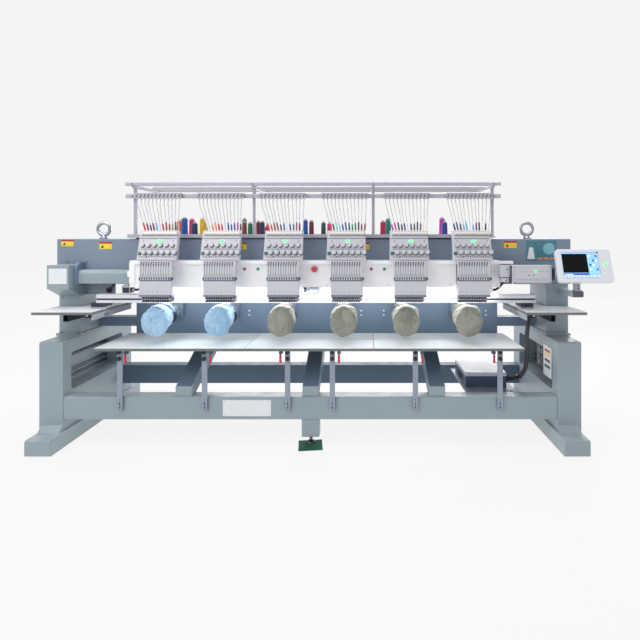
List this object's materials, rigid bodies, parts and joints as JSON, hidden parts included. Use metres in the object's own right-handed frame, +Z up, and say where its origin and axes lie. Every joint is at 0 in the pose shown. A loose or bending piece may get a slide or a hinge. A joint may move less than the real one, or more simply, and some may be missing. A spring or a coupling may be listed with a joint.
{
  "type": "embroidery machine",
  "caption": "Free-standing multi-head embroidery machine with needle cases, thread stand, cap frames, tables and a touch panel on a steel frame.",
  "frame": {"origin": "middle of the bottom of the machine's box, on the floor", "axes": "+X across the machine towards the control panel, +Y from the operator's side to the back, +Z up"},
  "size_m": [3.59, 1.15, 1.69],
  "materials": {
    "frame_paint": "satin grey-green enamel with a faint orange peel",
    "beam_paint": "satin blue-grey enamel",
    "cover_white": "satin off-white",
    "panel_plastic": "moulded white case",
    "table_board": "satin laminate with a dark edge",
    "rack_paint": "satin lavender grey",
    "box_paint": "satin violet grey",
    "silver_rail": "anodised extrusion",
    "steel": "ground steel",
    "red_plastic": "moulded red plastic",
    "green_plastic": "moulded green plastic",
    "black_plastic": "moulded black plastic",
    "pad_rubber": "green rubber mat",
    "fabric_blue": "light blue cotton twill",
    "fabric_khaki": "khaki cotton twill"
  },
  "bodies": {
    "frame": {"side_frame_left": "frame_paint", "side_frame_right": "frame_paint", "front_beam": "frame_paint", "rear_beam": "frame_paint", "floor_pad": "pad_rubber", "main_beam": "beam_paint", "upper_column_left": "frame_paint", "upper_column_right": "frame_paint", "arm_beam": "beam_paint", "colour_change_box": "cover_white", "front_panel": "cover_white", "wing_table_left": "table_board", "wing_table_right": "table_board", "thread_rack": "rack_paint", "power_box": "box_paint", "conduit": "black_plastic", "head_arm_1": "cover_white", "cylinder_arm_1": "silver_rail", "head_arm_2": "cover_white", "cylinder_arm_2": "silver_rail", "head_arm_3": "cover_white", "cylinder_arm_3": "silver_rail", "head_arm_4": "cover_white", "cylinder_arm_4": "silver_rail", "head_arm_5": "cover_white", "cylinder_arm_5": "silver_rail", "head_arm_6": "cover_white", "cylinder_arm_6": "silver_rail"},
    "pantograph_y": {"y_frame": "silver_rail"},
    "pantograph_x": {"x_beam": "silver_rail"},
    "needle_cases": {"colour_change_bar": "steel", "needle_case_1": "cover_white", "needle_case_2": "cover_white", "needle_case_3": "cover_white", "needle_case_4": "cover_white", "needle_case_5": "cover_white", "needle_case_6": "cover_white"},
    "lower_table": {"table_left": "table_board", "table_centre": "table_board", "table_right": "table_board"},
    "main_shaft": {"main_shaft": "steel"},
    "control_panel": {"control_panel": "panel_plastic"},
    "hand_lever": {"hand_lever": "black_plastic"},
    "stop_button_1": {"stop_button_1": "red_plastic"},
    "start_button_1": {"start_button_1": "green_plastic"},
    "stop_button_2": {"stop_button_2": "red_plastic"},
    "start_button_2": {"start_button_2": "green_plastic"},
    "emergency_stop": {"emergency_stop": "red_plastic"},
    "cap_1": {"cap_1": "fabric_blue"},
    "lock_lever_1": {"lock_lever_1": "red_plastic"},
    "cap_2": {"cap_2": "fabric_blue"},
    "lock_lever_2": {"lock_lever_2": "red_plastic"},
    "cap_3": {"cap_3": "fabric_khaki"},
    "lock_lever_3": {"lock_lever_3": "red_plastic"},
    "cap_4": {"cap_4": "fabric_khaki"},
    "lock_lever_4": {"lock_lever_4": "red_plastic"},
    "cap_5": {"cap_5": "fabric_khaki"},
    "lock_lever_5": {"lock_lever_5": "red_plastic"},
    "cap_6": {"cap_6": "fabric_khaki"},
    "lock_lever_6": {"lock_lever_6": "red_plastic"}
  },
  "joints": [
    {"name": "pantograph_y_slide", "type": "slide", "parent": "frame", "child": "pantograph_y", "axis": [0, 1, 0], "range_m": [-0.03, 0.03]},
    {"name": "pantograph_x_slide", "type": "slide", "parent": "pantograph_y", "child": "pantograph_x", "axis": [1, 0, 0], "range_m": [-0.15, 0.15]},
    {"name": "needle_case_slide", "type": "slide", "parent": "frame", "child": "needle_cases", "axis": [1, 0, 0], "range_m": [-0.1064, 0.0608]},
    {"name": "table_lift", "type": "slide", "parent": "frame", "child": "lower_table", "axis": [0, 0, 1], "range_m": [0, 0.05]},
    {"name": "main_shaft_turn", "type": "hinge", "parent": "frame", "child": "main_shaft", "pos_m": [-0.066, -0.2525, 1.128], "axis": [1, 0, 0], "continuous": true},
    {"name": "panel_swivel", "type": "hinge", "parent": "frame", "child": "control_panel", "pos_m": [1.612, -0.42, 1], "axis": [0, 0, 1], "range_deg": [-10, 45]},
    {"name": "hand_lever_turn", "type": "hinge", "parent": "frame", "child": "hand_lever", "pos_m": [-1.466, -0.174, 0.955], "axis": [0, -1, 0], "range_deg": [-30, 10]},
    {"name": "cap_1_turn", "type": "hinge", "parent": "pantograph_y", "child": "cap_1", "pos_m": [-1.066, -0.185, 0.796], "axis": [0, 1, 0], "range_deg": [-100, 100]},
    {"name": "cap_2_turn", "type": "hinge", "parent": "pantograph_y", "child": "cap_2", "pos_m": [-0.666, -0.185, 0.796], "axis": [0, 1, 0], "range_deg": [-100, 100]},
    {"name": "cap_3_turn", "type": "hinge", "parent": "pantograph_y", "child": "cap_3", "pos_m": [-0.266, -0.185, 0.796], "axis": [0, 1, 0], "range_deg": [-100, 100]},
    {"name": "cap_4_turn", "type": "hinge", "parent": "pantograph_y", "child": "cap_4", "pos_m": [0.134, -0.185, 0.796], "axis": [0, 1, 0], "range_deg": [-100, 100]},
    {"name": "cap_5_turn", "type": "hinge", "parent": "pantograph_y", "child": "cap_5", "pos_m": [0.534, -0.185, 0.796], "axis": [0, 1, 0], "range_deg": [-100, 100]},
    {"name": "cap_6_turn", "type": "hinge", "parent": "pantograph_y", "child": "cap_6", "pos_m": [0.934, -0.185, 0.796], "axis": [0, 1, 0], "range_deg": [-100, 100]},
    {"name": "lock_lever_1_turn", "type": "hinge", "parent": "lower_table", "child": "lock_lever_1", "pos_m": [-1.214, -0.458, 0.598], "axis": [0, -1, 0], "range_deg": [0, 80]},
    {"name": "lock_lever_2_turn", "type": "hinge", "parent": "lower_table", "child": "lock_lever_2", "pos_m": [-0.684, -0.458, 0.598], "axis": [0, -1, 0], "range_deg": [0, 80]},
    {"name": "lock_lever_3_turn", "type": "hinge", "parent": "lower_table", "child": "lock_lever_3", "pos_m": [-0.248, -0.458, 0.598], "axis": [0, 1, 0], "range_deg": [0, 80]},
    {"name": "lock_lever_4_turn", "type": "hinge", "parent": "lower_table", "child": "lock_lever_4", "pos_m": [0.116, -0.458, 0.598], "axis": [0, -1, 0], "range_deg": [0, 80]},
    {"name": "lock_lever_5_turn", "type": "hinge", "parent": "lower_table", "child": "lock_lever_5", "pos_m": [0.636, -0.458, 0.598], "axis": [0, -1, 0], "range_deg": [0, 80]},
    {"name": "lock_lever_6_turn", "type": "hinge", "parent": "lower_table", "child": "lock_lever_6", "pos_m": [1.082, -0.458, 0.598], "axis": [0, 1, 0], "range_deg": [0, 80]},
    {"name": "stop_button_1_press", "type": "slide", "parent": "frame", "child": "stop_button_1", "axis": [0, 1, 0], "range_m": [0, 0.004], "stiffness_N_per_m": 300},
    {"name": "start_button_1_press", "type": "slide", "parent": "frame", "child": "start_button_1", "axis": [0, 1, 0], "range_m": [0, 0.004], "stiffness_N_per_m": 300},
    {"name": "stop_button_2_press", "type": "slide", "parent": "frame", "child": "stop_button_2", "axis": [0, 1, 0], "range_m": [0, 0.004], "stiffness_N_per_m": 300},
    {"name": "start_button_2_press", "type": "slide", "parent": "frame", "child": "start_button_2", "axis": [0, 1, 0], "range_m": [0, 0.004], "stiffness_N_per_m": 300},
    {"name": "emergency_stop_press", "type": "slide", "parent": "frame", "child": "emergency_stop", "axis": [0, 1, 0], "range_m": [0, 0.006]}
  ],
  "couplings": [
    {"joint": "cap_1_turn", "follows": "pantograph_x_slide", "rad_per_m": 11.429},
    {"joint": "cap_2_turn", "follows": "pantograph_x_slide", "rad_per_m": 11.429},
    {"joint": "cap_3_turn", "follows": "pantograph_x_slide", "rad_per_m": 11.429},
    {"joint": "cap_4_turn", "follows": "pantograph_x_slide", "rad_per_m": 11.429},
    {"joint": "cap_5_turn", "follows": "pantograph_x_slide", "rad_per_m": 11.429},
    {"joint": "cap_6_turn", "follows": "pantograph_x_slide", "rad_per_m": 11.429}
  ]
}
